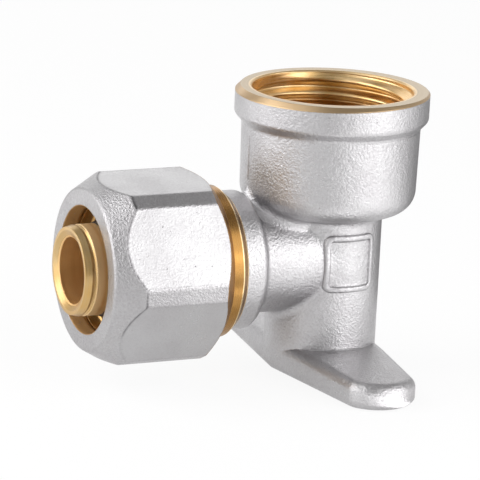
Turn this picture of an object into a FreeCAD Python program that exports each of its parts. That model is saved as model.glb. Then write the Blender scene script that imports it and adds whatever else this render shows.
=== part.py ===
import FreeCAD, Part
import math
import os

# Wall plate elbow: a multilayer pipe is clamped on the stem, and a tap screws into the G 1/2 socket.
# The wall face lies in Z = 0 and the socket's axis is +Z. The pipe comes in from the -X side.
# Sizes are in millimetres and angles in degrees.

# Pipe that the fitting takes
pipe_outer = 16.0
pipe_inner = 12.0

# Heights above the wall
branch_height = 15.2
rim_height = 37.3

# Wall plate with two lugs along Y
plate_span = 43.5
plate_width = 14.4
plate_thickness = 3.4
plate_crown = 0.5
plate_edge_radius = 1.4
lug_foot_radius = 1.0
lug_end_width = 9.43
lug_nose_rise = 2.88
lug_corner_radius = 3.0
plate_waist_radius = 2.0

# Column and neck of the forging
column_radius = 7.32
column_foot_radius = 0.9
column_foot_sink = 0.1
neck_radius = 7.1
neck_crest_radius = 0.8
forging_fillet = 1.2

# Socket with a G 1/2 thread
socket_thread = 20.955
socket_thread_length = 12.2
socket_wall = 1.15
socket_length = 15.83
socket_draft = 1.0
socket_corner_radius = 3.0
rim_step = 1.0
rim_length = 3.5
rim_shoulder = 1.1
rim_edge_radius = 0.8
rim_bevel = 0.45
rim_bevel_runout = 0.25
mouth_bevel = 0.2

# Waterway
socket_bore = 10.0
bore_overrun = 0.6
bore_corner = 0.8
nose_bevel = 0.9
nose_bevel_depth = 0.5

# Branch, along its axis from the socket outwards
collar_gap = 0.67
collar_rise = 0.95
collar_length = 2.64
collar_step = 0.85
collar_edge_radius = 0.9
shoulder_bevel = 0.95
shoulder_length = 2.65
turned_edge_radius = 0.25
union_thread_pitch = 1.5
union_thread_length = 7.4
union_lead = 0.7
stem_length = 10.0

# Grooves of the stem: two for the seals and a narrow one behind the nose
seal_section = 1.25
seal_squeeze = 0.17
seal_groove_width = 1.65
seal_pitch = 2.9
seal_first = 4.4
seal_groove_wall = 0.6
nose_land = 0.95
nose_groove_width = 0.65
nose_groove_depth = 0.3
nose_taper = 0.25

# Clamp ring, washer and nut
ring_length = 5.5
ring_wall = 0.9
ring_nose_wall = 0.2
ring_split = 1.6
ring_tooth_pitch = 1.2
ring_tooth_depth = 0.25
ring_teeth = 3
washer_thickness = 1.0
seat_angle = 30.0
nut_standoff = 1.5
nut_lip = 1.87
nut_lip_edge_radius = 0.3
nut_wall = 1.25
nut_turn = 26.0
nut_edge_flat = 2.2
nut_edge_radius = 1.0
nut_front_land = 2.2
nut_front_edge_radius = 0.4
nut_front_chamfer = 30.0
nut_rear_rim = 0.25
nut_rear_chamfer = 50.0
nut_thread_runout = 2.0

# Clearances, all on the radius unless they say otherwise
stem_clearance = 0.13
opening_clearance = 0.24
ring_pipe_clearance = 0.1
ring_nut_clearance = 0.2
ring_thread_clearance = 0.188
ring_end_gap = 0.2
washer_clearance = 0.08
washer_ring_clearance = 0.2
seal_clearance = 0.02
shoulder_allowance = 0.15
nut_thread_allowance = 0.05

# Heights of a 60 degree metric thread as shares of its pitch
internal_thread_height = 0.54127
external_thread_height = 0.61343

# Radii that follow from the pipe
stem_radius = pipe_inner / 2 - stem_clearance
opening_radius = pipe_outer / 2 + opening_clearance
ring_bore = pipe_outer / 2 + ring_pipe_clearance
ring_radius = ring_bore + ring_wall
seat_radius = ring_radius + ring_nut_clearance
union_radius = ring_radius + ring_thread_clearance + internal_thread_height * union_thread_pitch
shoulder_radius = union_radius - shoulder_allowance
union_core_radius = union_radius - external_thread_height * union_thread_pitch
collar_radius = shoulder_radius - collar_step
nut_bore = union_radius + nut_thread_allowance
nut_flat = nut_bore + nut_wall
nut_front_radius = opening_radius + nut_front_land
seal_radius = pipe_inner / 2 + seal_squeeze
seal_groove_radius = seal_radius - seal_section - seal_clearance
branch_bore_radius = seal_groove_radius - seal_groove_wall

# Radii and heights of the socket
socket_thread_radius = socket_thread / 2
barrel_radius = socket_thread_radius + socket_wall
rim_radius = barrel_radius + rim_step
socket_floor = rim_height - socket_thread_length
socket_underside = rim_height - socket_length
plate_top = plate_thickness + plate_crown

# Places along the branch, as distances from the socket's axis
collar_back = barrel_radius + collar_gap
neck_end = collar_back - collar_rise
collar_front = collar_back + collar_length
shoulder_start = collar_front + shoulder_bevel
union_start = shoulder_start + shoulder_length
stem_root = union_start + union_thread_length
nose = stem_root + stem_length
ring_rear = stem_root + ring_end_gap
ring_front = ring_rear + ring_length
seat_slope = math.tan(math.radians(seat_angle))
seat_end = ring_front + (ring_bore + ring_nose_wall + ring_nut_clearance - opening_radius) / seat_slope
nut_front = seat_end + nut_lip
nut_rear = shoulder_start + nut_standoff

SOCKET_AXIS = FreeCAD.Vector(0, 0, 1)
BRANCH_AXIS = FreeCAD.Vector(1, 0, 0)
BRANCH_POINT = FreeCAD.Vector(0, 0, branch_height)


def rounded_face(corners):
    """Face of a closed outline; each corner is a point and the radius of its rounding."""
    edges = []
    ends = []
    count = len(corners)
    for index, (point, radius) in enumerate(corners):
        if not radius:
            ends.append((point, None, point))
            continue
        before = (corners[index - 1][0] - point).normalize()
        after = (corners[(index + 1) % count][0] - point).normalize()
        half = before.getAngle(after) / 2
        middle = (before + after).normalize()
        reach = radius / math.tan(half)
        crown = point + middle * (radius / math.sin(half) - radius)
        ends.append((point + before * reach, crown, point + after * reach))
    for index, (start, crown, end) in enumerate(ends):
        previous = ends[index - 1][2]
        if previous.distanceToPoint(start) > 1e-6:
            edges.append(Part.LineSegment(previous, start).toShape())
        if crown is not None:
            edges.append(Part.Arc(start, crown, end).toShape())
    return Part.Face(Part.Wire(edges))


def turned_on_socket(corners):
    """Solid turned about the socket's axis from (radius, height, rounding) corners."""
    face = rounded_face([(FreeCAD.Vector(r, 0, z), rounding) for r, z, rounding in corners])
    return face.revolve(FreeCAD.Vector(0, 0, 0), SOCKET_AXIS, 360)


def turned_on_branch(corners):
    """Solid turned about the branch from (distance from the socket, radius, rounding) corners."""
    points = [(FreeCAD.Vector(-s, 0, branch_height + r), rounding) for s, r, rounding in corners]
    return rounded_face(points).revolve(BRANCH_POINT, BRANCH_AXIS, 360)


def plate_outline():
    """Plan of the wall plate: two lugs that taper from the column and end in round noses."""
    half_width = plate_width / 2
    tip_y = plate_span / 2
    corners = {}
    for side in (1, -1):
        for end in (1, -1):
            corners[side, end] = FreeCAD.Vector(side * lug_end_width / 2, end * (tip_y - lug_nose_rise), 0)
    edges = []
    for end in (1, -1):
        tip = FreeCAD.Vector(0, end * tip_y, 0)
        edges.append(Part.Arc(corners[end, end], tip, corners[-end, end]).toShape())
        waist = FreeCAD.Vector(-end * half_width, 0, 0)
        edges.append(Part.LineSegment(corners[-end, end], waist).toShape())
        edges.append(Part.LineSegment(waist, corners[-end, -end]).toShape())
    return Part.Face(Part.Wire(edges))


def upright_edges(solid, wanted):
    """Edges along Z whose place passes the test."""
    found = []
    for edge in solid.Edges:
        first, last = edge.Vertexes[0].Point, edge.Vertexes[-1].Point
        if (first - last).cross(SOCKET_AXIS).Length < 1e-6 and wanted(first):
            found.append(edge)
    return found


def wall_plate():
    """Plate with its two lugs, round above and below; its top falls from the column to the noses."""
    blank = plate_outline().extrude(SOCKET_AXIS * plate_top)
    at_waist = plate_width / 4
    blank = blank.makeFillet(lug_corner_radius, upright_edges(blank, lambda p: abs(p.y) > at_waist))
    blank = blank.makeFillet(plate_waist_radius, upright_edges(blank, lambda p: abs(p.y) < at_waist))
    tip = plate_span / 2
    roof = Part.makePolygon([
        FreeCAD.Vector(-plate_width, -tip, 0),
        FreeCAD.Vector(-plate_width, tip, 0),
        FreeCAD.Vector(-plate_width, tip, plate_thickness),
        FreeCAD.Vector(-plate_width, column_radius, plate_top),
        FreeCAD.Vector(-plate_width, -column_radius, plate_top),
        FreeCAD.Vector(-plate_width, -tip, plate_thickness),
        FreeCAD.Vector(-plate_width, -tip, 0),
    ])
    plate = blank.common(Part.Face(roof).extrude(BRANCH_AXIS * 2 * plate_width))
    top_edges = [edge for edge in plate.Edges if edge.CenterOfMass.z > plate_thickness * 0.9]
    outline_edges = [edge for edge in top_edges if not across_plate(edge)]
    plate = plate.makeFillet(plate_edge_radius, outline_edges)
    foot_edges = [edge for edge in plate.Edges if edge.BoundBox.ZMax < plate_edge_radius / 10]
    return plate.makeFillet(lug_foot_radius, foot_edges)


def column_foot():
    """Flare at the column's foot, which spreads over the two lugs and fades out at the plate's waist."""
    inner = column_radius - column_foot_sink
    outer = inner + column_foot_radius
    crest = plate_top + column_foot_radius
    flare = turned_on_socket([
        (0, plate_thickness / 2, 0),
        (outer, plate_thickness / 2, 0),
        (outer, plate_top, 0),
        (inner, plate_top, column_foot_radius),
        (inner, crest, 0),
        (0, crest, 0),
    ])
    narrowing = FreeCAD.Matrix()
    narrowing.scale((inner - column_foot_radius) / outer, 1, 1)
    return flare.transformGeometry(narrowing)


def across_plate(edge):
    """True for the two crests that run across the plate's top."""
    ends = [vertex.Point for vertex in edge.Vertexes]
    return abs(ends[0].y - ends[-1].y) < 1e-6 and abs(ends[0].x + ends[-1].x) < 1e-6


def socket_and_column():
    """Column with the cup of the socket on it and its stepped rim."""
    draft = math.tan(math.radians(socket_draft))
    step_height = rim_height - rim_length
    bottom_radius = barrel_radius - draft * (step_height - socket_underside)
    return turned_on_socket([
        (0, lug_foot_radius, 0),
        (column_radius, lug_foot_radius, 0),
        (column_radius, socket_underside, 0),
        (bottom_radius, socket_underside, socket_corner_radius),
        (barrel_radius, step_height - rim_shoulder, rim_edge_radius),
        (rim_radius, step_height, rim_edge_radius),
        (rim_radius, rim_height, 0),
        (0, rim_height, 0),
    ])


def neck_outline():
    """Section of the neck: round below, with two flanks that rise to a crest as high as the collar."""
    lean = math.acos(neck_radius / collar_radius)
    flank = FreeCAD.Vector(0, neck_radius * math.sin(lean), neck_radius * math.cos(lean))
    far_flank = FreeCAD.Vector(0, -flank.y, flank.z)
    crest = FreeCAD.Vector(0, 0, collar_radius)
    reach = neck_crest_radius * flank.y / flank.z
    before = crest + (flank - crest).normalize() * reach
    after = FreeCAD.Vector(0, -before.y, before.z)
    top = FreeCAD.Vector(0, 0, collar_radius - neck_crest_radius * (collar_radius / neck_radius - 1))
    outline = Part.Wire([
        Part.LineSegment(flank, before).toShape(),
        Part.Arc(before, top, after).toShape(),
        Part.LineSegment(after, far_flank).toShape(),
        Part.Arc(far_flank, FreeCAD.Vector(0, 0, -neck_radius), flank).toShape(),
    ])
    outline.translate(BRANCH_POINT)
    return outline


def neck():
    """Neck between the column and the collar."""
    return Part.Face(neck_outline()).extrude(BRANCH_AXIS * -collar_front)


def branch():
    """Collar with its flared foot, turned shoulder, core of the union thread and the pipe stem."""
    front_seal = nose - seal_first
    rear_seal = front_seal - seal_pitch
    half_groove = seal_groove_width / 2
    groove_front = nose - nose_land
    groove_rear = groove_front - nose_groove_width
    flare_start = neck_end - collar_edge_radius
    corners = [
        (flare_start, 0, 0),
        (flare_start, neck_radius, 0),
        (neck_end, neck_radius, collar_edge_radius),
        (collar_back, collar_radius, collar_edge_radius),
        (collar_front, collar_radius, 0),
        (shoulder_start, shoulder_radius, turned_edge_radius),
        (union_start, shoulder_radius, 0),
        (union_start, union_core_radius, 0),
        (stem_root - union_lead, union_core_radius, 0),
        (stem_root, union_core_radius - union_lead, 0),
        (stem_root, stem_radius, 0),
    ]
    for seal in (rear_seal, front_seal):
        corners += [
            (seal - half_groove, stem_radius, 0),
            (seal - half_groove, seal_groove_radius, 0),
            (seal + half_groove, seal_groove_radius, 0),
            (seal + half_groove, stem_radius, 0),
        ]
    corners += [
        (groove_rear, stem_radius, 0),
        (groove_rear + nose_groove_depth, stem_radius - nose_groove_depth, 0),
        (groove_front, stem_radius - nose_groove_depth, 0),
        (groove_front, stem_radius, 0),
        (nose, stem_radius - nose_taper, 0),
        (nose, 0, 0),
    ]
    return turned_on_branch(corners)


def waterway():
    """Bent passage from the stem's nose to the floor of the socket, with the socket's thread bore."""
    drill_radius = socket_bore / 2
    pipe_side = turned_on_branch([
        (0, 0, 0),
        (0, branch_bore_radius, 0),
        (nose - nose_bevel_depth, branch_bore_radius, 0),
        (nose, branch_bore_radius + nose_bevel, 0),
        (nose, 0, 0),
    ])
    drill_end = branch_height - branch_bore_radius - bore_overrun
    mouth_radius = socket_thread_radius + mouth_bevel
    tap_side = turned_on_socket([
        (0, drill_end - bore_corner, 0),
        (drill_radius - bore_corner, drill_end - bore_corner, 0),
        (drill_radius, drill_end, 0),
        (drill_radius, socket_floor, 0),
        (socket_thread_radius, socket_floor, 0),
        (socket_thread_radius, rim_height - mouth_bevel, 0),
        (mouth_radius, rim_height, 0),
        (0, rim_height, 0),
    ])
    return pipe_side.fuse(tap_side)


def rim_cutter():
    """Ring that bevels the rim's outer edge; its axis runs a little off the socket's own."""
    low = rim_height - rim_bevel
    spread = 2 * rim_bevel + rim_bevel_runout
    cutter = turned_on_socket([
        (rim_radius - rim_bevel, rim_height, 0),
        (rim_radius + spread, low - spread, 0),
        (rim_radius + spread, rim_height, 0),
    ])
    cutter.translate(BRANCH_AXIS * rim_bevel_runout)
    return cutter


def junction_edges(solid):
    """Edges where the neck runs into the column and the cup, and where the column meets the cup."""
    found = []
    outline = neck_outline()
    for edge in solid.Edges:
        points = edge.discretize(9)
        shadows = [Part.Vertex(0, p.y, p.z) for p in points]
        on_neck = all(shadow.distToShape(outline)[0] < 1e-3 for shadow in shadows)
        on_column = all(abs(math.hypot(p.x, p.y) - column_radius) < 1e-3 for p in points)
        at_cup = all(abs(p.z - socket_underside) < 1e-3 for p in points)
        at_end = abs(points[4].x + collar_front) < 1e-3
        along_branch = (points[-1] - points[0]).cross(BRANCH_AXIS).Length < 1e-3
        if (on_neck and not at_end and not along_branch) or (on_column and at_cup):
            found.append(edge)
    return found


def fitting_body():
    """The forging with its machined bores."""
    forging = socket_and_column().fuse(neck())
    forging = forging.makeFillet(forging_fillet, junction_edges(forging))
    forging = forging.fuse([branch(), wall_plate(), column_foot()]).removeSplitter()
    return forging.cut([waterway(), rim_cutter()])


def compression_nut():
    """Union nut: six flats with flattened edges, a lip, a seat for the clamp ring and a thread bore."""
    corner_radius = nut_flat / math.cos(math.radians(30))
    start = FreeCAD.Vector(-nut_rear, 0, branch_height)
    edge_distance = corner_radius - nut_edge_flat / 2 * math.tan(math.radians(30))
    hexagon = []
    for index in range(6):
        angle = math.radians(nut_turn + 30 + 60 * index)
        outward = FreeCAD.Vector(0, -math.cos(angle), math.sin(angle))
        along = FreeCAD.Vector(0, math.sin(angle), math.cos(angle))
        for side in (-1, 1):
            corner = start + outward * edge_distance + along * (side * nut_edge_flat / 2)
            hexagon.append((corner, nut_edge_radius))
    prism = rounded_face(hexagon).extrude(BRANCH_AXIS * (nut_rear - nut_front))
    front_rise = (corner_radius - nut_front_radius) / math.tan(math.radians(nut_front_chamfer))
    rear_radius = nut_bore + nut_rear_rim
    rear_rise = (corner_radius - rear_radius) / math.tan(math.radians(nut_rear_chamfer))
    envelope = turned_on_branch([
        (nut_rear, 0, 0),
        (nut_rear, rear_radius, turned_edge_radius),
        (nut_rear + rear_rise, corner_radius, 0),
        (nut_front - front_rise, corner_radius, 0),
        (nut_front, nut_front_radius, nut_front_edge_radius),
        (nut_front, 0, 0),
    ])
    thread_end = stem_root + nut_thread_runout
    seat_start = seat_end - (seat_radius - opening_radius) / seat_slope
    bore = turned_on_branch([
        (nut_rear, 0, 0),
        (nut_rear, nut_bore, 0),
        (thread_end, nut_bore, 0),
        (thread_end + nut_bore - seat_radius, seat_radius, 0),
        (seat_start, seat_radius, 0),
        (seat_end, opening_radius, nut_lip_edge_radius),
        (nut_front, opening_radius, 0),
        (nut_front, 0, 0),
    ])
    return prism.common(envelope).cut(bore)


def clamp_ring():
    """Split ring with a conical nose outside and gripping grooves inside."""
    nose_radius = ring_bore + ring_nose_wall
    cone_start = ring_front - (ring_radius - nose_radius) / seat_slope
    corners = [
        (ring_rear, ring_bore, 0),
        (ring_rear, ring_radius, 0),
        (cone_start, ring_radius, 0),
        (ring_front, nose_radius, 0),
        (ring_front, ring_bore, 0),
    ]
    first_tooth = ring_rear + (ring_length - (ring_teeth - 1) * ring_tooth_pitch) / 2
    for index in reversed(range(ring_teeth)):
        tooth = first_tooth + index * ring_tooth_pitch
        corners += [
            (tooth + ring_tooth_depth, ring_bore, 0),
            (tooth, ring_bore + ring_tooth_depth, 0),
            (tooth - ring_tooth_depth, ring_bore, 0),
        ]
    ring = turned_on_branch(corners)
    corner = FreeCAD.Vector(-ring_front, 0, branch_height - ring_split / 2)
    return ring.cut(Part.makeBox(ring_length, 2 * ring_radius, ring_split, corner))


def insulating_washer():
    """Flat plastic ring on the shoulder at the stem's root."""
    inner = stem_radius + washer_clearance
    outer = ring_bore - washer_ring_clearance
    return turned_on_branch([
        (stem_root, inner, 0),
        (stem_root, outer, 0),
        (stem_root + washer_thickness, outer, 0),
        (stem_root + washer_thickness, inner, 0),
    ])


def o_ring(place):
    """Rubber seal in the groove whose middle lies at the given distance from the socket's axis."""
    section = seal_section / 2
    centre = FreeCAD.Vector(-place, 0, branch_height)
    return Part.makeTorus(seal_radius - section, section, centre, BRANCH_AXIS)


nodes = {
    "fitting_body": fitting_body(),
    "compression_nut": compression_nut(),
    "clamp_ring": clamp_ring(),
    "insulating_washer": insulating_washer(),
    "o_ring_front": o_ring(nose - seal_first),
    "o_ring_rear": o_ring(nose - seal_first - seal_pitch),
}

os.makedirs("parts", exist_ok=True)
for name, shape in nodes.items():
    shape.exportStep("parts/" + name + ".step")
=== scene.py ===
import math

import bpy
from mathutils import Matrix, Vector


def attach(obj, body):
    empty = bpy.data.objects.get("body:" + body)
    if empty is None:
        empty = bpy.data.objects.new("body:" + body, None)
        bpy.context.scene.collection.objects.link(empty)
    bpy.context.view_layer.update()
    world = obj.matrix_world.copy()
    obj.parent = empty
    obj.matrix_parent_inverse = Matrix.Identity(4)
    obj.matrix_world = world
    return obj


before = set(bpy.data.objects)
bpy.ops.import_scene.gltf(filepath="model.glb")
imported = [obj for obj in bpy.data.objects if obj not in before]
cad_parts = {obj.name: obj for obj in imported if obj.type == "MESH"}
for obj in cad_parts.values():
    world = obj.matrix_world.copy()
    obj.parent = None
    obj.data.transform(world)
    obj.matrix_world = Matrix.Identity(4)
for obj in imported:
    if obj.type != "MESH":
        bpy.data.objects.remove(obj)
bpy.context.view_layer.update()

# Sizes are in millimetres, as in the part's source, and become metres where a mesh is made.
MM = 0.001
BRANCH_HEIGHT = 15.2
RIM_HEIGHT = 37.3
RIM_RADIUS = 12.6275
RIM_BEVEL = 0.45
RIM_RUNOUT = 0.25
BARREL_RADIUS = 11.6275
BARREL_DRAFT = math.tan(math.radians(1.0))
RIM_STEP_LOW = 32.7
COLUMN_RADIUS = 7.32
NECK_RADIUS = 7.1
PLATE_TOP = 3.9
SOCKET_THREAD_RADIUS = 10.4775
SOCKET_CREST_RADIUS = 9.3155
SOCKET_PITCH = 1.814
SOCKET_FLOOR = 25.1
MOUTH_RADIUS = 10.66

# The branch and the nut: a place along the branch is a distance from the socket's axis
COLLAR_FRONT = 14.9375
SHOULDER_START = 15.8875
UNION_START = 18.5375
STEM_ROOT = 25.9375
NUT_REAR = 17.3875
NUT_REAR_RADIUS = 10.3
NUT_REAR_SLOPE = math.tan(math.radians(50.0))
NUT_FRONT = 33.9578
NUT_FRONT_RADIUS = 10.44
NUT_EDGE_RADIUS = 12.41
NUT_FRONT_SLOPE = math.tan(math.radians(30.0))
NUT_THREAD_END = 27.9375
NUT_OPENING_RADIUS = 8.24
NUT_BORE_RADIUS = 10.05
UNION_PITCH = 1.5
UNION_CORE_RADIUS = 9.08
UNION_CREST_RADIUS = 9.85
NUT_CREST_RADIUS = 9.19

# Bevels that trim the threads, and how far a trimmed ridge dips under its cylinder
UNION_LEAD = 0.4
NUT_COUNTERSINK = 0.1
THREAD_DIP = 0.02

# Limits of the finishes: radii about the two axes, and places along them
SOCKET_BARE_RADIUS = 10.9
SOCKET_INSIDE_RADIUS = 9.9
DRILL_RADIUS = 5.3
DRILL_LOW = 8.0
WATERWAY_RADIUS = 4.5
LAND_START = 30.5
LAND_END = 34.4
LAND_RADIUS = 5.0
NUT_BORE_END = 32.4
SEAL_CROWN = 6.15

# Skin of the blasted forging: sizes in millimetres, and how strongly its grain is speckled
FORGED_SKIN = {"grain_size": 0.3, "grain_height": 0.1, "lump_height": 0.06, "speckle": 0.5}

# Places on the stage, in metres
LIT_POINT = Vector((-0.012, 0.0, 0.018))
CAMERA_TARGET = Vector((-0.01218, 0.0, 0.01771))
CAMERA_DISTANCE = 0.4834
FLOOR_HEIGHT = -0.0001
FLOOR_REACH = 3.0
DARK_CARD_CORNERS = [(0.022, 0.03), (0.052, -0.004), (0.25, 0.045), (0.13, 0.25)]

# Linear colours
PLATED = (0.55, 0.545, 0.552, 1.0)
PLATED_NUT = (0.515, 0.511, 0.516, 1.0)
PLATED_DARK = (0.39, 0.373, 0.385, 1.0)
# Dark grey of a painted shade line
PAINTED_SHADE_GREY = (0.16, 0.155, 0.16, 1.0)
BRASS = (0.60, 0.435, 0.225, 1.0)
BRASS_CUT = (0.42, 0.34, 0.23, 1.0)
BRASS_BEVEL = (0.55, 0.395, 0.24, 1.0)
# Pale brass painted as if lit: painted light on the stem's land, and painted highlights along bare edges
BRASS_PAINTED_LIGHT = (0.94, 0.73, 0.43, 1.0)
BRASS_DEEP = (0.62, 0.38, 0.13, 1.0)
# Orange brass darkened by painted shade, for the band between the collar and the nut
BRASS_SHADED = (0.31, 0.155, 0.04, 1.0)
BRASS_INSIDE = (0.80, 0.53, 0.25, 1.0)
BRASS_SOCKET = (0.86, 0.63, 0.35, 1.0)
BRASS_LIP = (0.66, 0.45, 0.23, 1.0)
RUBBER = (0.016, 0.016, 0.017, 1.0)
RUBBER_DUST = (0.045, 0.044, 0.042, 1.0)
PLASTIC = (0.80, 0.79, 0.75, 1.0)
PLASTIC_SHADE = (0.70, 0.68, 0.63, 1.0)
WHITE = (1.0, 1.0, 1.0, 1.0)
FLOOR = (0.93, 0.93, 0.93, 1.0)
GREY_CARD = (0.26, 0.26, 0.26, 1.0)


class Field:
    """A number that varies over a surface. Arithmetic on fields adds the shader nodes for it."""

    def __init__(self, tree, socket):
        self.tree = tree
        self.socket = socket

    def math(self, operation, other=0.0):
        node = add_node(self.tree, "Math", {0: self, 1: other}, operation=operation)
        return Field(self.tree, node.outputs[0])

    def __add__(self, other):
        return self.math("ADD", other)

    def __sub__(self, other):
        return self.math("SUBTRACT", other)

    def __mul__(self, other):
        return self.math("MULTIPLY", other)

    def most(self, other):
        return self.math("MAXIMUM", other)

    def above(self, limit, soft=0.02):
        """1 where the field is above the limit and 0 below it, with a short ramp between."""
        return self.remap(limit - soft, limit + soft, 0.0, 1.0)

    def below(self, limit, soft=0.02):
        return self.remap(limit - soft, limit + soft, 1.0, 0.0)

    def remap(self, low, high, at_low, at_high):
        """Straight ramp from at_low to at_high as the field goes from low to high, and level outside."""
        values = {0: self, 1: low, 2: high, 3: at_low, 4: at_high}
        return Field(self.tree, add_node(self.tree, "MapRange", values).outputs[0])


def add_node(tree, kind, values, **settings):
    """Add a shader node, set its options, and fill its inputs with fields, sockets or plain values."""
    node = tree.nodes.new("ShaderNode" + kind)
    for option, value in settings.items():
        setattr(node, option, value)
    for key, value in values.items():
        fill(tree, node.inputs[key], value)
    return node


def fill(tree, socket, value):
    """Link a field or a socket to an input, or set a plain value on it."""
    if isinstance(value, Field):
        tree.links.new(value.socket, socket)
    elif isinstance(value, bpy.types.NodeSocket):
        tree.links.new(value, socket)
    else:
        socket.default_value = value


class Finish:
    """A material whose patterns lie in the object's own millimetres."""

    def __init__(self, name, metallic):
        self.material = bpy.data.materials.new(name)
        self.material.use_nodes = True
        self.tree = self.material.node_tree
        self.shader = self.tree.nodes["Principled BSDF"]
        self.shader.inputs["Metallic"].default_value = metallic
        place = add_node(self.tree, "TexCoord", {}).outputs["Object"]
        scaled = add_node(self.tree, "VectorMath", {0: place, "Scale": 1 / MM}, operation="SCALE")
        self.place = scaled.outputs[0]
        parts = add_node(self.tree, "SeparateXYZ", {0: self.place})
        self.x, self.y, self.z = (Field(self.tree, socket) for socket in parts.outputs)
        self.along = self.x * -1.0
        self.from_branch = self.radius(self.y, self.z - BRANCH_HEIGHT)
        self.from_socket = self.radius(self.x, self.y)

    def vector(self, first, second, third=0.0):
        return add_node(self.tree, "CombineXYZ", {0: first, 1: second, 2: third}).outputs[0]

    def radius(self, first, second):
        node = add_node(self.tree, "VectorMath", {0: self.vector(first, second)}, operation="LENGTH")
        return Field(self.tree, node.outputs["Value"])

    def noise(self, scale, detail=2.0, roughness=0.5, place=None):
        """Cloudy noise; the scale is in cells per millimetre."""
        values = {"Vector": place or self.place, "Scale": scale, "Detail": detail, "Roughness": roughness}
        return Field(self.tree, add_node(self.tree, "TexNoise", values).outputs[0])

    def pits(self, scale, size, share):
        """1 inside small round pits, one to a cell, in the given share of the cells."""
        node = add_node(self.tree, "TexVoronoi", {"Vector": self.place, "Scale": scale})
        inside = Field(self.tree, node.outputs["Distance"]).below(size * scale, 0.4 * size * scale)
        parts = add_node(self.tree, "SeparateColor", {0: node.outputs["Color"]})
        return inside * Field(self.tree, parts.outputs[0]).below(share, 0.01)

    def blend(self, factor, first, second):
        """Colour between two colours, or a number between two fields."""
        if isinstance(first, Field):
            values = {0: factor, 2: first, 3: second}
            node = add_node(self.tree, "Mix", values, data_type="FLOAT")
            return Field(self.tree, node.outputs[0])
        values = {0: factor, 6: first, 7: second}
        return add_node(self.tree, "Mix", values, data_type="RGBA").outputs[2]

    def apply(self, colour, roughness, height, edge=0.05):
        """Link the patterns to the shader; height and the softness of sharp edges are in millimetres."""
        softened = add_node(self.tree, "Bevel", {"Radius": edge * MM}).outputs[0]
        values = {"Height": height, "Distance": MM, "Strength": 1.0, "Normal": softened}
        bump = add_node(self.tree, "Bump", values)
        fill(self.tree, self.shader.inputs["Base Color"], colour)
        fill(self.tree, self.shader.inputs["Roughness"], roughness)
        fill(self.tree, self.shader.inputs["Normal"], bump.outputs[0])
        return self.material


def blasted(finish, light, grain_size, grain_height, lump_height, speckle):
    """Plated metal over a shot-blasted forging: fine speckled grain, soft lumps, and a few small pits."""
    pit_dark, pit_depth = 0.7, 0.03
    grain = finish.noise(1 / grain_size, detail=3.0, roughness=0.6)
    lumps = finish.noise(0.9)
    tone = finish.noise(0.16)
    pits = finish.pits(scale=0.8, size=0.09, share=0.3)
    shade = grain.remap(0.3, 0.7, 1.0, 0.0) * speckle + tone.remap(0.35, 0.65, 0.0, 0.25)
    colour = finish.blend(shade, light, PLATED_DARK)
    colour = finish.blend(pits * pit_dark, colour, PLATED_DARK)
    roughness = grain.remap(0.3, 0.7, 0.38, 0.28) + tone.remap(0.3, 0.7, -0.03, 0.03)
    height = grain * grain_height + lumps * lump_height - pits * pit_depth
    return colour, roughness, height


def turned(finish, first, second, light, deep):
    """Bare brass with the fine rings that a lathe tool leaves."""
    ring_height, wave_height = 0.018, 0.004
    rings = finish.noise(5.0, detail=3.0, roughness=0.6, place=finish.vector(first, second))
    stain = finish.noise(0.35, detail=3.0)
    worn = stain.remap(0.35, 0.7, 0.0, 0.6) + rings.remap(0.35, 0.65, 0.4, 0.0)
    colour = finish.blend(worn, light, deep)
    roughness = rings.remap(0.3, 0.7, 0.24, 0.38)
    height = rings * ring_height + finish.noise(2.0) * wave_height
    return colour, roughness, height


def ragged_edge(finish):
    """Small wander, in millimetres, of the border between plating and bare metal."""
    return finish.noise(1.8).remap(0.2, 0.8, -0.05, 0.05)


def mixed(finish, share, first, second):
    """Two surfaces on one piece, parted by a share that goes from 0 to 1."""
    return [finish.blend(share, one, other) for one, other in zip(first, second)]


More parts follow.
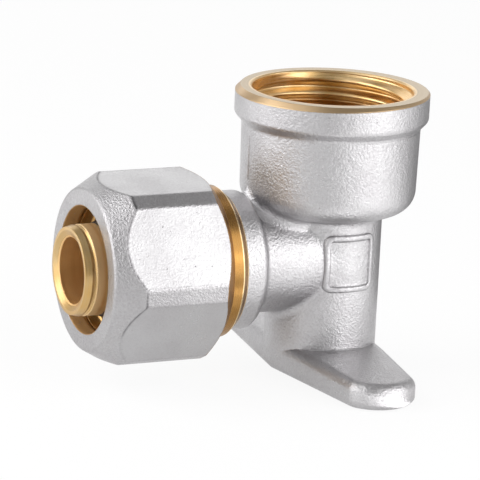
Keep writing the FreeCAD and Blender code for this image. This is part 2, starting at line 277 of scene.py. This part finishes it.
def body_material():
    """The forging: plated outside, bare brass where it was turned or bored after plating. The shoulder's
    brass is darkened by painted shade and has painted highlights on its edges, and the stem's land has
    painted light.
    """
    finish = Finish("plated_forging", 1.0)
    ragged = ragged_edge(finish)
    off_axis = finish.radius(finish.x - RIM_RUNOUT, finish.y)
    rim_top = finish.z.above(RIM_HEIGHT - 0.01, 0.005)
    near_rim = finish.z.above(RIM_HEIGHT - 1.2)
    bevel_start = RIM_RADIUS - RIM_BEVEL + RIM_HEIGHT - 0.06
    rim_bevel = (off_axis + finish.z + ragged * 0.6).above(bevel_start) * near_rim
    socket = finish.from_socket.below(SOCKET_BARE_RADIUS) * finish.z.above(SOCKET_FLOOR - 0.6)
    drill = finish.from_socket.below(DRILL_RADIUS) * finish.z.above(DRILL_LOW)
    bore = finish.from_branch.below(WATERWAY_RADIUS) * finish.along.above(0.1)
    branch = (finish.along + ragged * 0.5).above(COLLAR_FRONT - 0.03)
    bare = rim_top.most(rim_bevel).most(socket).most(drill).most(bore).most(branch)
    inside = (finish.from_socket.below(SOCKET_INSIDE_RADIUS) * finish.z.above(DRILL_LOW)).most(bore)
    # The shoulder between collar and nut is tinted a darker brass: painted shade where the nut and collar
    # shade it
    shoulder = branch * finish.along.below(UNION_START + 0.1)
    # Painted highlights: thin pale lines along the shoulder's two edges stand in for light catching those
    # edges
    painted_edge_highlight = finish.along.above(SHOULDER_START - 0.12) * finish.along.below(SHOULDER_START + 0.1)
    painted_edge_highlight = (painted_edge_highlight + finish.along.below(COLLAR_FRONT + 0.14)) * shoulder
    # Painted light: the stem's land, deep in the nut's mouth, gets a pale banded brass that stands in for
    # light reaching it
    land = branch * finish.along.above(LAND_START) * finish.along.below(LAND_END)
    land = land * finish.from_branch.above(LAND_RADIUS)
    socket_side = turned(finish, finish.from_socket, finish.z, BRASS, BRASS_DEEP)
    stem_side = turned(finish, finish.along, finish.from_branch, BRASS, BRASS_DEEP)
    colour, roughness, height = mixed(finish, branch, socket_side, stem_side)
    across = finish.vector(finish.along, finish.from_branch * 0.1)
    bands = finish.noise(1.3, detail=3.0, roughness=0.7, place=across)
    land_painted_light = finish.blend(bands.remap(0.45, 0.6, 0.0, 0.9), BRASS_PAINTED_LIGHT, BRASS_INSIDE)
    # where each tint lies, how much of it shows, and its colour
    tints = [(shoulder, 0.9, BRASS_SHADED), (rim_bevel, 0.9, BRASS_BEVEL), (rim_top, 0.9, BRASS_CUT),
             (socket, 0.6, BRASS_SOCKET), (inside, 0.7, BRASS_INSIDE), (land, 0.85, land_painted_light),
             (painted_edge_highlight, 0.85, BRASS_PAINTED_LIGHT)]
    for place, share, tint in tints:
        colour = finish.blend(place * share, colour, tint)
    roughness = roughness - shoulder * 0.06 + inside * 0.25 + land * 0.3
    plated = blasted(finish, PLATED, **FORGED_SKIN)
    return finish.apply(*mixed(finish, bare, plated, (colour, roughness, height)), edge=0.15)


def nut_material():
    """The nut: plated, with a bare chamfer at the rear darkened by painted shade and a painted highlight on
    its edge, a bare bore, and a painted shade line at the front of its flats.
    """
    finish = Finish("plated_hexagon", 1.0)
    ragged = ragged_edge(finish)
    rear_cone = finish.from_branch - NUT_REAR_RADIUS - (finish.along - NUT_REAR) * NUT_REAR_SLOPE
    chamfer = (rear_cone + ragged).above(-0.06)
    # Painted highlight: a pale line along the rear chamfer's outer edge
    rear_edge_highlight = chamfer * finish.along.below(NUT_REAR + 0.16)
    lip = (finish.from_branch + ragged).below(NUT_OPENING_RADIUS + 0.04)
    bore = finish.from_branch.below(NUT_BORE_RADIUS + 0.05) * finish.along.below(NUT_BORE_END)
    hollow = lip.most(bore)
    bare = chamfer.most(hollow)
    colour, roughness, height = turned(finish, finish.along, finish.from_branch, BRASS, BRASS_DEEP)
    colour = finish.blend(hollow, colour, BRASS_LIP)
    # The rear chamfer, beside the shoulder, gets the same darker brass of painted shade
    colour = finish.blend(chamfer * 0.9, colour, BRASS_SHADED)
    colour = finish.blend(rear_edge_highlight * 0.85, colour, BRASS_PAINTED_LIGHT)
    roughness = roughness + hollow * 0.4
    from_front = finish.along * -1.0 + NUT_FRONT
    front_cone = finish.from_branch - NUT_FRONT_RADIUS - from_front * NUT_FRONT_SLOPE
    forged = front_cone.above(-0.25, 0.2).most(finish.along.above(NUT_FRONT - 0.1))
    forged = forged.most(finish.from_branch.above(NUT_EDGE_RADIUS - 0.04, 0.05))
    grain_height = forged.remap(0.0, 1.0, 0.04, 0.1)
    speckle = forged.remap(0.0, 1.0, 0.27, 0.7)
    colour_plated, *relief = blasted(
        finish, PLATED_NUT, grain_size=0.28, grain_height=grain_height, lump_height=0.02, speckle=speckle)
    # Painted shade: a dark line on the flats just inside the front cone's edge, broken up by noise and
    # fading towards the lower flats
    edge_line = front_cone.above(-0.22, 0.08) * front_cone.below(-0.06, 0.05)
    edge_line = edge_line * finish.along.below(NUT_FRONT - 0.6)
    upper = finish.z.remap(BRANCH_HEIGHT - 6.8, BRANCH_HEIGHT - 5.0, 0.1, 1.0)
    patchy = finish.noise(1.1, detail=3.0).remap(0.3, 0.65, 0.55, 1.0)
    edge_shade = edge_line * patchy * upper
    plated = finish.blend(edge_shade, colour_plated, PAINTED_SHADE_GREY), *relief
    return finish.apply(*mixed(finish, bare, plated, (colour, roughness, height)), edge=0.35)


def plated_material():
    """Plain plated surface of the raised details on the forging."""
    finish = Finish("plated_detail", 1.0)
    return finish.apply(*blasted(finish, PLATED, **FORGED_SKIN))


def brass_material(name, light, deep):
    """Bare turned brass about the branch."""
    finish = Finish(name, 1.0)
    return finish.apply(*turned(finish, finish.along, finish.from_branch, light, deep))


def socket_thread_material():
    """Bare cut brass about the socket's axis."""
    finish = Finish("cut_socket_thread", 1.0)
    return finish.apply(*turned(finish, finish.from_socket, finish.z, BRASS_SOCKET, BRASS_DEEP))


def rubber_material():
    """Black seal with a dull bloom and a fine moulding seam round its crown."""
    finish = Finish("seal_rubber", 0.0)
    grain_height, seam_height = 0.006, 0.012
    bloom = finish.noise(1.2, detail=3.0)
    grain = finish.noise(6.0)
    seam = finish.from_branch.above(SEAL_CROWN, 0.012)
    colour = finish.blend(bloom.remap(0.4, 0.75, 0.0, 0.6), RUBBER, RUBBER_DUST)
    roughness = bloom.remap(0.3, 0.7, 0.42, 0.58)
    return finish.apply(colour, roughness, grain * grain_height + seam * seam_height)


def plastic_material():
    """White plastic washer with faint turning rings."""
    finish = Finish("white_plastic", 0.0)
    ring_height = 0.01
    shade = finish.noise(0.5)
    rings = finish.noise(4.0, place=finish.vector(finish.from_branch, finish.along))
    colour = finish.blend(shade.remap(0.35, 0.7, 0.0, 0.7), PLASTIC, PLASTIC_SHADE)
    return finish.apply(colour, rings.remap(0.3, 0.7, 0.38, 0.5), rings * ring_height)


def add_piece(name, points, faces, body, material, crease=40.0):
    """Make a mesh from points in millimetres and let it ride on a body."""
    mesh = bpy.data.meshes.new(name)
    mesh.from_pydata([Vector(point) * MM for point in points], [], faces)
    mesh.shade_smooth()
    mesh.set_sharp_from_angle(angle=math.radians(crease))
    mesh.materials.append(material)
    piece = bpy.data.objects.new(name, mesh)
    bpy.context.scene.collection.objects.link(piece)
    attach(piece, body)


def loft(rows):
    """Points and faces of a closed tube through rows of points, with both ends capped."""
    size = len(rows[0])
    points = [point for row in rows for point in row]
    faces = []
    for row in range(len(rows) - 1):
        for column in range(size):
            following = (column + 1) % size
            low, high = row * size, (row + 1) * size
            faces.append((low + column, low + following, high + following, high + column))
    faces.append(tuple(reversed(range(size))))
    faces.append(tuple(range(len(points) - size, len(points))))
    return points, faces


def on_branch(angle, along, radius):
    """Point about the branch's axis; a growing angle and distance turn a right-hand thread."""
    return (-along, radius * math.sin(angle), BRANCH_HEIGHT + radius * math.cos(angle))


def on_socket(angle, along, radius):
    """Point about the socket's axis."""
    return (radius * math.cos(angle), radius * math.sin(angle), along)


def ramp(value):
    """Smooth step from 0 to 1."""
    value = min(1.0, max(0.0, value))
    return value * value * (3.0 - 2.0 * value)


def trapezium(crest, base):
    """Straight-flanked ridge as (offset along the axis, share of the height) points."""
    return [(-base / 2, 0.0), (-crest / 2, 1.0), (crest / 2, 1.0), (base / 2, 0.0)]


def rounded_ridge(pitch, count):
    """Ridge with a round crest and round roots."""
    fullness, steepness = 1.12, 2.3
    ridge = []
    for index in range(count + 1):
        offset = index / count - 0.5
        ridge.append((offset * pitch, ramp(fullness - steepness * abs(offset))))
    return ridge


def divided(ridge, count):
    """The ridge with each straight run cut into several, so that a cone can trim it."""
    fine = []
    for (start, low), (end, high) in zip(ridge, ridge[1:]):
        for index in range(count):
            share = index / count
            fine.append((start + (end - start) * share, low + (high - low) * share))
    return fine + [ridge[-1]]


def thread(ridge, pitch, first, last, root, crest, trim, place):
    """Helical ridge on a cylinder; trim limits the radius at a distance along the axis."""
    per_turn, sink = 96, 0.03
    run_out = per_turn / 3
    steps = round(per_turn * (last - first) / pitch)
    sunk = root + sink * (1 if root > crest else -1)
    rows = []
    for step in range(steps + 1):
        angle = 2 * math.pi * step / per_turn
        middle = first + pitch * step / per_turn
        swell = min(ramp(step / run_out), ramp((steps - step) / run_out))
        row = [place(angle, middle + ridge[0][0], sunk)]
        for offset, share in ridge:
            radius = root + (crest - root) * share * swell
            row.append(place(angle, middle + offset, trim(middle + offset, radius)))
        row.append(place(angle, middle + ridge[-1][0], sunk))
        rows.append(row)
    return loft(rows)


def socket_mouth(along, radius):
    """The cone that opens the socket's mouth cuts the first turns away."""
    return max(radius, min(MOUTH_RADIUS - (RIM_HEIGHT - along), SOCKET_THREAD_RADIUS + THREAD_DIP))


def union_lead(along, radius):
    """The bevel at the stem's root thins the last turn."""
    cone = UNION_CORE_RADIUS + STEM_ROOT - UNION_LEAD - along
    return min(radius, max(UNION_CORE_RADIUS - THREAD_DIP, cone))


def nut_mouth(along, radius):
    """The countersink at the nut's rear thins the first turn."""
    cone = NUT_BORE_RADIUS + NUT_COUNTERSINK - (along - NUT_REAR)
    return max(radius, min(NUT_BORE_RADIUS + THREAD_DIP, cone))


def add_threads(brass):
    """The three threads, which the plain turned bores and cores carry."""
    round_points, flank_points = 20, 4
    pipe_ridge = rounded_ridge(SOCKET_PITCH, round_points)
    points, faces = thread(
        pipe_ridge, SOCKET_PITCH, first=SOCKET_FLOOR + 1.6, last=RIM_HEIGHT - 0.95,
        root=SOCKET_THREAD_RADIUS, crest=SOCKET_CREST_RADIUS, trim=socket_mouth, place=on_socket)
    add_piece("socket_thread", points, faces, "elbow", socket_thread_material())
    male = divided(trapezium(crest=0.19, base=1.08), flank_points)
    union_first = UNION_START + 1.0
    points, faces = thread(
        male, UNION_PITCH, first=union_first, last=STEM_ROOT - 0.6,
        root=UNION_CORE_RADIUS, crest=UNION_CREST_RADIUS, trim=union_lead, place=on_branch)
    add_piece("union_thread", points, faces, "elbow", brass)
    female = divided(trapezium(crest=0.25, base=1.24), flank_points)
    nut_first = union_first - UNION_PITCH / 2
    nut_turns = math.floor((NUT_THREAD_END - 0.6 - nut_first) / UNION_PITCH)
    points, faces = thread(
        female, UNION_PITCH, first=nut_first, last=nut_first + nut_turns * UNION_PITCH,
        root=NUT_BORE_RADIUS, crest=NUT_CREST_RADIUS, trim=nut_mouth, place=on_branch)
    add_piece("nut_thread", points, faces, "nut", brass)


def forging_side(x, z):
    """Distance of the forging's front side from the plane of its axes."""
    neck_fade, soft = 0.6, 0.25
    column = math.sqrt(COLUMN_RADIUS ** 2 - x ** 2)
    lift = z - BRANCH_HEIGHT
    neck = math.sqrt(NECK_RADIUS ** 2 - lift ** 2) - neck_fade * max(0.0, x) ** 2
    gap = column - neck
    return (column + neck + math.sqrt(gap * gap + soft * soft) - soft * 0.4) / 2


def rounded_rectangle(half_x, half_z, corner, count):
    """Points round a rectangle with round corners."""
    outline = []
    for quarter in range(4):
        middle_x = (half_x - corner) * (1 if quarter in (0, 3) else -1)
        middle_z = (half_z - corner) * (1 if quarter in (0, 1) else -1)
        for step in range(count + 1):
            angle = math.pi / 2 * (quarter + step / count)
            outline.append((middle_x + corner * math.cos(angle), middle_z + corner * math.sin(angle)))
        side_x = -2 * middle_x if quarter in (0, 2) else 0.0
        side_z = -2 * middle_z if quarter in (1, 3) else 0.0
        last_x, last_z = outline[-1]
        for step in range(1, count):
            outline.append((last_x + side_x * step / count, last_z + side_z * step / count))
    return outline


def add_blank_pad(material):
    """Bare raised pad with a plain border on the front of the column."""
    middle_x, middle_z = 0.3, BRANCH_HEIGHT + 0.4
    half_x, half_z, corner, least_corner = 3.7, 3.85, 1.2, 0.2
    corner_points = 8
    # inset from the pad's outline, and height over the forging
    profile = [(-0.12, -0.3), (0.0, 0.0), (0.05, 0.22), (0.13, 0.36), (0.28, 0.42), (0.60, 0.42),
               (0.75, 0.36), (0.83, 0.22), (0.90, 0.10), (1.02, 0.08)]
    rings = []
    for inset, height in profile:
        inner_corner = max(corner - inset, least_corner)
        outline = rounded_rectangle(half_x - inset, half_z - inset, inner_corner, corner_points)
        rings.append((outline, height))
    field_outline, field_height = rings[-1]
    for share in (0.8, 0.6, 0.4, 0.2, 0.05):
        rings.append(([(x * share, z * share) for x, z in field_outline], field_height))
    rows = []
    for outline, height in rings:
        row = []
        for x, z in outline:
            side = forging_side(middle_x + x, middle_z + z)
            row.append((middle_x + x, -side - height, middle_z + z))
        rows.append(row)
    points, faces = loft(rows)
    add_piece("blank_pad", points, faces, "elbow", material, crease=60.0)


def add_parting_line(name, path, side, material):
    """Thin flash line where the halves of the die met; the path is (distance from the axis, height)."""
    half_width, rise, sunk, fade_points = 0.13, 0.07, 0.06, 3
    section = [(-half_width, -sunk), (-half_width * 0.5, rise * 0.7), (0.0, rise),
               (half_width * 0.5, rise * 0.7), (half_width, -sunk)]
    rows = []
    for index, (distance, height) in enumerate(path):
        before, after = path[max(index - 1, 0)], path[min(index + 1, len(path) - 1)]
        run = Vector((after[0] - before[0], after[1] - before[1])).normalized()
        out = Vector((run.y, -run.x))
        fade = ramp(index / fade_points) * ramp((len(path) - 1 - index) / fade_points)
        row = []
        for across, lift in section:
            lift = lift * fade - sunk * (1 - fade)
            row.append((side * (distance + out.x * lift), side * across, height + out.y * lift))
        rows.append(row)
    points, faces = loft(rows)
    add_piece(name, points, faces, "elbow", material, crease=70.0)


def straight(start, end, count):
    """Points on a straight run of a parting line."""
    return [(start[0] + (end[0] - start[0]) * i / count, start[1] + (end[1] - start[1]) * i / count)
            for i in range(count + 1)]


def add_parting_lines(material):
    """Flash lines on the barrel's two sides and on the back of the column."""
    barrel_low, column_high, steps = 25.2, 20.3, 24
    low_radius = BARREL_RADIUS - BARREL_DRAFT * (RIM_STEP_LOW - barrel_low)
    barrel = straight((low_radius, barrel_low), (BARREL_RADIUS, RIM_STEP_LOW - 0.5), steps)
    column = straight((COLUMN_RADIUS, PLATE_TOP + 1.2), (COLUMN_RADIUS, column_high), steps)
    add_parting_line("parting_line_left", barrel, -1, material)
    add_parting_line("parting_line_right", barrel, 1, material)
    add_parting_line("parting_line_column", column, 1, material)


def shown_rays(tree):
    """How white the floor shows: most to the camera, less to rays that the part mirrors or lets through."""
    mirrored_share, camera_share = 0.57, 0.9
    rays = add_node(tree, "LightPath", {}).outputs
    mirrored = Field(tree, rays["Is Glossy Ray"]).most(Field(tree, rays["Is Transmission Ray"]))
    return (mirrored * mirrored_share).most(Field(tree, rays["Is Camera Ray"]) * camera_share)


def empty_tree(holder):
    """Node tree of a material or a world, with no nodes in it."""
    holder.use_nodes = True
    holder.node_tree.nodes.clear()
    return holder.node_tree


def add_sheet(name, corners, height):
    """Flat piece of the stage."""
    mesh = bpy.data.meshes.new(name)
    mesh.from_pydata([(x, y, height) for x, y in corners], [], [(0, 1, 2, 3)])
    sheet = bpy.data.objects.new(name, mesh)
    bpy.context.scene.collection.objects.link(sheet)
    return sheet


def add_dark_card():
    """Grey card to the right of the part and behind it. Only mirrored rays see it, as darker right edges."""
    card = add_sheet("dark_card", DARK_CARD_CORNERS, 0.0)
    material = bpy.data.materials.new("grey_card")
    tree = empty_tree(material)
    surface = add_node(tree, "BsdfDiffuse", {"Color": GREY_CARD}).outputs[0]
    add_node(tree, "OutputMaterial", {"Surface": surface})
    card.data.materials.append(material)
    card.visible_camera = False
    card.visible_diffuse = False
    card.visible_shadow = False


def add_floor():
    """Plain pale floor, which looks white and keeps a soft shadow of the part."""
    corners = [(x * FLOOR_REACH, y * FLOOR_REACH) for x, y in ((-1, -1), (1, -1), (1, 1), (-1, 1))]
    floor = add_sheet("floor", corners, FLOOR_HEIGHT)
    material = bpy.data.materials.new("pale_floor")
    tree = empty_tree(material)
    lit = add_node(tree, "BsdfDiffuse", {"Color": FLOOR}).outputs[0]
    glow = add_node(tree, "Emission", {"Color": WHITE, "Strength": 1.0}).outputs[0]
    surface = add_node(tree, "MixShader", {0: shown_rays(tree), 1: lit, 2: glow}).outputs[0]
    add_node(tree, "OutputMaterial", {"Surface": surface})
    floor.data.materials.append(material)


def add_world():
    """Even white studio walls under a darker ceiling, and dimmer where a photographer stands."""
    photographer = (-0.412, -0.876, 0.251)
    world = bpy.data.worlds.new("studio")
    bpy.context.scene.world = world
    tree = empty_tree(world)
    toward = add_node(tree, "TexCoord", {}).outputs["Generated"]
    height = Field(tree, add_node(tree, "SeparateXYZ", {0: toward}).outputs[2])
    front = add_node(tree, "VectorMath", {0: toward, 1: photographer}, operation="DOT_PRODUCT")
    dim = Field(tree, front.outputs["Value"]).remap(0.8, 0.97, 1.0, 0.45)
    strength = height.remap(0.3, 0.8, 0.7, 0.35) * dim
    walls = add_node(tree, "Background", {"Color": WHITE, "Strength": strength}).outputs[0]
    add_node(tree, "OutputWorld", {"Surface": walls})


def new_lamp(name, width, height, radiance):
    """Soft rectangle of light, not yet put in its place."""
    light = bpy.data.lights.new(name, "AREA")
    light.shape = "RECTANGLE"
    light.size = width
    light.size_y = height
    light.energy = radiance * math.pi * width * height
    lamp = bpy.data.objects.new(name, light)
    lamp.visible_camera = False
    bpy.context.scene.collection.objects.link(lamp)
    return lamp


def add_lamp(name, toward, distance, width, height, radiance):
    """Soft box that faces the part from the given direction."""
    lamp = new_lamp(name, width, height, radiance)
    direction = Vector(toward).normalized()
    lamp.rotation_euler = direction.to_track_quat("Z", "Y").to_euler()
    lamp.location = LIT_POINT + direction * distance


def add_floor_card(name, place, turn, width, length, radiance):
    """Bright card that lies on the floor and faces upwards."""
    card = new_lamp(name, width, length, radiance)
    card.location = (*place, 0.0)
    card.rotation_euler = (math.pi, 0.0, math.radians(turn))


def add_camera():
    """Long lens at the photograph's angle, rolled a little."""
    azimuth, elevation, roll = (math.radians(angle) for angle in (-25.21, 14.54, 2.82))
    back = Vector((math.sin(azimuth) * math.cos(elevation),
                   -math.cos(azimuth) * math.cos(elevation), math.sin(elevation)))
    right = Vector((0.0, 0.0, 1.0)).cross(back).normalized()
    up = back.cross(right)
    tilted_right = right * math.cos(roll) + up * math.sin(roll)
    tilted_up = up * math.cos(roll) - right * math.sin(roll)
    data = bpy.data.cameras.new("camera")
    data.sensor_width = 36.0
    data.lens = 280.8
    data.clip_start = 0.01
    data.clip_end = 20.0
    camera = bpy.data.objects.new("camera", data)
    place = CAMERA_TARGET + back * CAMERA_DISTANCE
    turn = Matrix((tilted_right, tilted_up, back)).transposed().to_4x4()
    camera.matrix_world = Matrix.Translation(place) @ turn
    bpy.context.scene.collection.objects.link(camera)
    bpy.context.scene.camera = camera


def dress(node, material):
    """Give a CAD node its material."""
    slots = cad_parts[node].data.materials
    slots.clear()
    slots.append(material)


turned_brass = brass_material("turned_brass", BRASS, BRASS_DEEP)
rubber = rubber_material()
dress("fitting_body", body_material())
dress("compression_nut", nut_material())
dress("clamp_ring", brass_material("clamp_brass", BRASS_DEEP, BRASS_INSIDE))
dress("insulating_washer", plastic_material())
dress("o_ring_front", rubber)
dress("o_ring_rear", rubber)

plated_detail = plated_material()
add_threads(turned_brass)
add_blank_pad(plated_detail)
add_parting_lines(plated_detail)

add_floor()
add_dark_card()
add_world()
add_lamp("key", toward=(0.55, -0.68, 0.52), distance=0.5, width=0.48, height=0.36, radiance=1.68)
add_lamp("low_front", toward=(0.54, -0.84, 0.14), distance=0.16, width=0.17, height=0.075, radiance=1.8)
add_lamp("left_box", toward=(-0.82, 0.25, 0.48), distance=0.38, width=0.36, height=0.36, radiance=2.45)
add_lamp("front_fill", toward=(-0.83, -0.45, 0.2), distance=0.45, width=0.3, height=0.3, radiance=1.05)
add_lamp("back_box", toward=(0.30, 0.85, 0.42), distance=0.6, width=0.6, height=0.26, radiance=0.9)
add_floor_card("front_card", place=(0.062, -0.070), turn=23.0, width=0.074, length=0.13, radiance=0.65)
add_floor_card("nose_card", place=(-0.001, -0.0285), turn=25.0, width=0.016, length=0.011, radiance=1.8)
add_floor_card("lug_card", place=(-0.0105, -0.0205), turn=25.0, width=0.005, length=0.008, radiance=0.6)
add_floor_card("far_card", place=(0.015, -0.19), turn=0.0, width=0.045, length=0.22, radiance=0.8)
add_floor_card("side_card", place=(-0.075, 0.105), turn=0.0, width=0.05, length=0.06, radiance=0.7)
add_floor_card("left_card", place=(-0.165, 0.045), turn=0.0, width=0.12, length=0.1, radiance=1.4)
add_lamp("top_box", toward=(-0.5, 0.1, 0.84), distance=0.6, width=0.45, height=0.4, radiance=0.7)
add_camera()
bpy.context.scene.view_settings.view_transform = "Standard"
